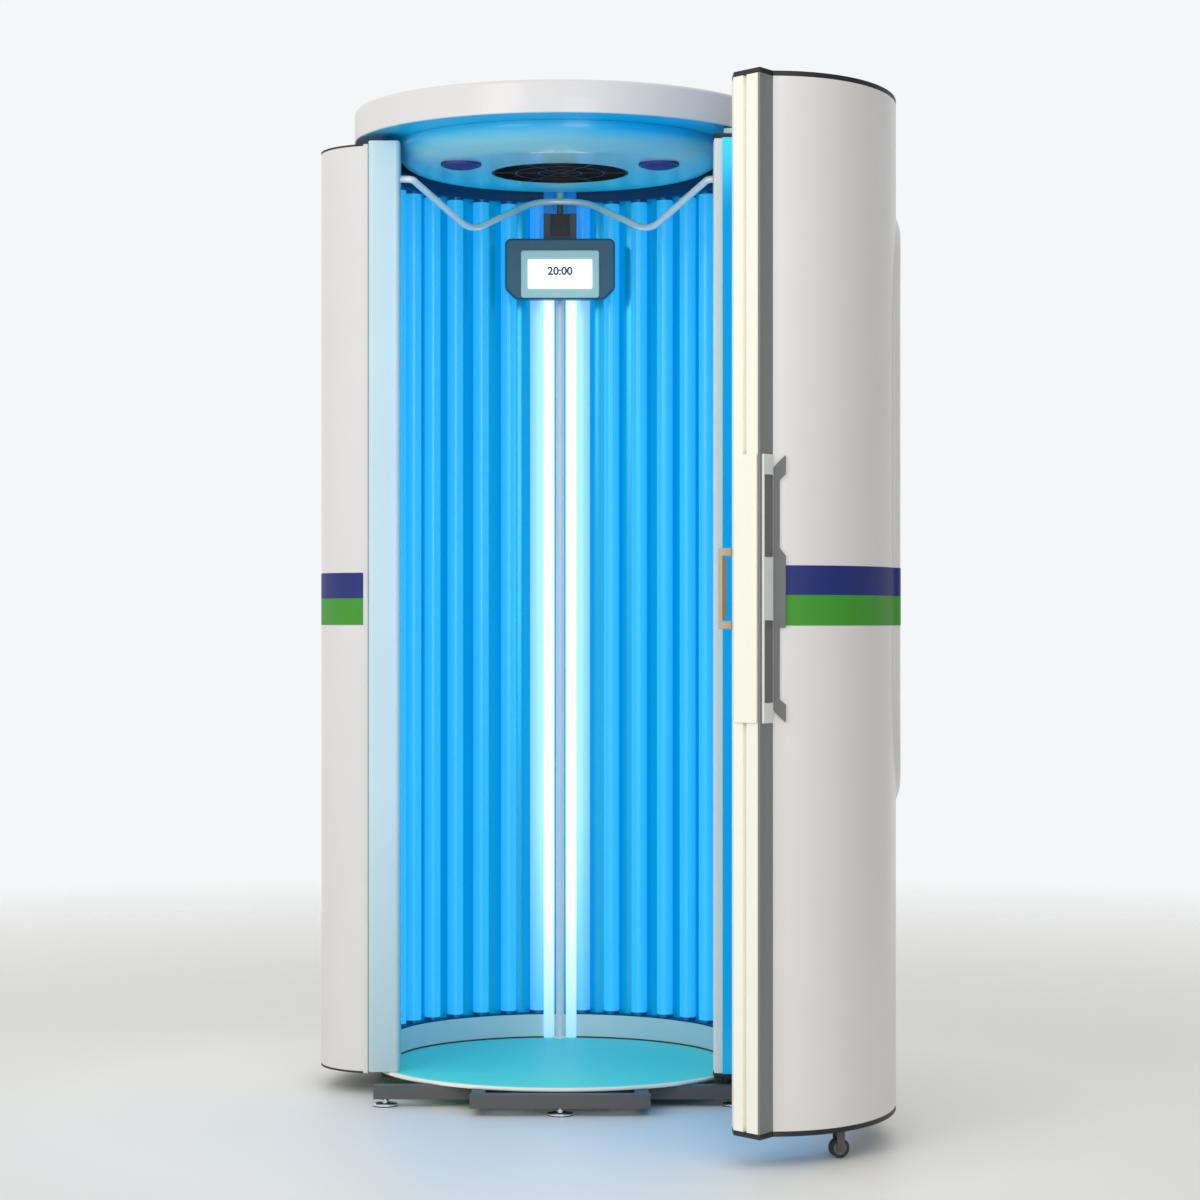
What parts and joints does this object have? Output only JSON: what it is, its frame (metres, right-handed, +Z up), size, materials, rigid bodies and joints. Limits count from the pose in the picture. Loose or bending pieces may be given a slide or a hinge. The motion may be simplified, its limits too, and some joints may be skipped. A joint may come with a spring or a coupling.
{
  "type": "vertical tanning booth",
  "caption": "Stand-up tanning booth: round lamp cabin on levelling feet with a curved swinging lamp door, ceiling fan, hand rail and control screen.",
  "frame": {"origin": "middle of the footprint on the floor, door open as at rest", "axes": "+Z up, +Y to the back of the cabin, +X to the hinge side"},
  "size_m": [1.259, 1.672, 2.232],
  "materials": {
    "white_enamel": "smooth powder-coated sheet",
    "cream_profile": "extruded cream plastic",
    "dark_steel": "dark painted steel",
    "black_paint": "black powder coat",
    "black_plastic": "moulded black plastic",
    "grey_paint": "grey satin paint",
    "edge_grey": "grey moulded strip",
    "silver_aluminium": "satin anodised aluminium",
    "chrome": "polished chrome tube",
    "reflector_sheet": "bright folded reflector sheet",
    "lamp_glass": "lit blue lamp tubes in dark holders",
    "white_diffuser": "lit opal diffuser",
    "teal_acrylic": "teal acrylic plate",
    "screen_case": "moulded blue-grey case",
    "screen_bezel": "pale teal bezel",
    "screen_glass": "white lit display",
    "speaker_mesh": "violet speaker cover",
    "rubber": "rubber tread",
    "beige_plastic": "moulded beige pull"
  },
  "bodies": {
    "cabin": {"cover_left": "white_enamel", "cover_right": "white_enamel", "cover_back": "white_enamel", "post_left": "white_enamel", "post_right": "white_enamel", "canopy": "white_enamel", "ceiling": "white_enamel", "platform_rim": "cream_profile", "base_frame": "dark_steel", "stud_left": "dark_steel", "stud_right": "dark_steel", "fan_motor": "dark_steel", "floor_plate": "black_paint", "roof_plate": "black_paint", "fan_duct": "black_paint", "hinge_bracket_lower": "black_paint", "fan_guard": "black_plastic", "mains_inlet": "black_plastic", "skirting": "grey_paint", "screen_bracket": "grey_paint", "hinge_bracket_upper": "grey_paint", "ballast_tray_left": "silver_aluminium", "ballast_tray_right": "silver_aluminium", "centre_pole": "chrome", "hand_rail": "chrome", "foot_front_left": "chrome", "foot_front_right": "chrome", "foot_front_centre": "chrome", "foot_back_left": "chrome", "foot_back_right": "chrome", "reflector_left": "reflector_sheet", "reflector_right": "reflector_sheet", "lamp_bank_left_back": "lamp_glass", "lamp_bank_left_front": "lamp_glass", "lamp_bank_right_back": "lamp_glass", "lamp_bank_right_front": "lamp_glass", "light_strip_left": "white_diffuser", "light_strip_right": "white_diffuser", "platform": "teal_acrylic", "screen_housing": "screen_case", "screen_bezel": "screen_bezel", "screen_display": "screen_glass", "speaker_left": "speaker_mesh", "speaker_right": "speaker_mesh"},
    "door": {"door_panel": "white_enamel", "door_raised_panel": "white_enamel", "door_reflector": "reflector_sheet", "door_lamp_bank": "lamp_glass", "door_top_cap": "black_paint", "door_bottom_cap": "black_paint", "door_free_edge": "cream_profile", "door_hinge_edge": "cream_profile", "door_edge_strip": "edge_grey", "handle_plate": "cream_profile", "handle_rail": "silver_aluminium", "handle_guard": "edge_grey", "inner_pull": "beige_plastic", "roller_fork": "dark_steel"},
    "roller": {"door_roller": "rubber"},
    "fan": {"fan_rotor": "black_plastic"}
  },
  "joints": [
    {"name": "door_swing", "type": "hinge", "parent": "cabin", "child": "door", "pos_m": [0.3165, 0.02, 0.058], "axis": [0, 0, 1], "range_deg": [-90, 20]},
    {"name": "roller_spin", "type": "hinge", "parent": "door", "child": "roller", "pos_m": [0.4746, -0.6927, 0.02], "axis": [0.2166, -0.9763, 0], "continuous": true},
    {"name": "fan_spin", "type": "hinge", "parent": "cabin", "child": "fan", "pos_m": [-0.0795, 0.272, 2.141], "axis": [0, 0, 1], "continuous": true}
  ]
}
